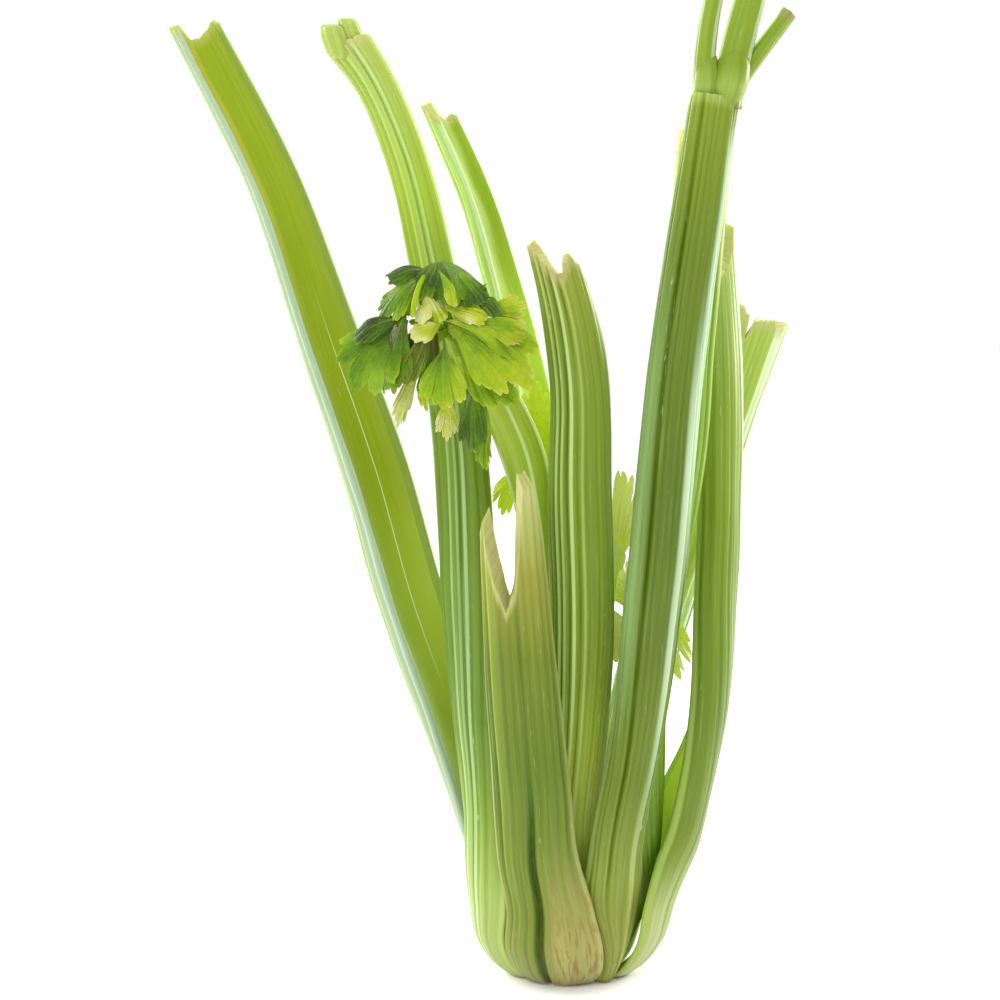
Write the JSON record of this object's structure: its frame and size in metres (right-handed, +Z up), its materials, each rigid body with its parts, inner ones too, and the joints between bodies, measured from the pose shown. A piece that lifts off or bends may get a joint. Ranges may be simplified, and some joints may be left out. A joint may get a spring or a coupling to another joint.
{
  "type": "head of celery",
  "caption": "Head of celery standing on its cut butt: ribbed, channelled stalks broken off at unlike heights, one leafy inner stalk and pale heart leaves.",
  "frame": {"origin": "middle of the flat cut face of the butt, on which the head stands", "axes": "+Z up, along the head from the cut butt to the stalks' tips; -Y towards the low broken stalk; +X towards the tall jointed stalk's side"},
  "size_m": [0.2379, 0.1125, 0.3886],
  "materials": {
    "stalk": "waxy, slightly shiny plant skin",
    "leaf": "satin leaf",
    "heart": "satin leaf and stem, pale",
    "crown": "cut, drying plant flesh"
  },
  "bodies": {
    "root": {"crown": "crown", "stalk_front": "stalk", "stalk_front_right": "stalk", "stalk_right": "stalk", "stalk_rear_right": "stalk", "stalk_rear": "stalk", "stalk_rear_left": "stalk", "stalk_left": "stalk", "stalk_inner_front": "stalk", "stalk_inner_right": "stalk", "stalk_leafy": "stalk", "leaf_spray": "leaf", "heart_left": "heart", "heart_middle": "heart", "heart_right": "heart"}
  },
  "joints": []
}
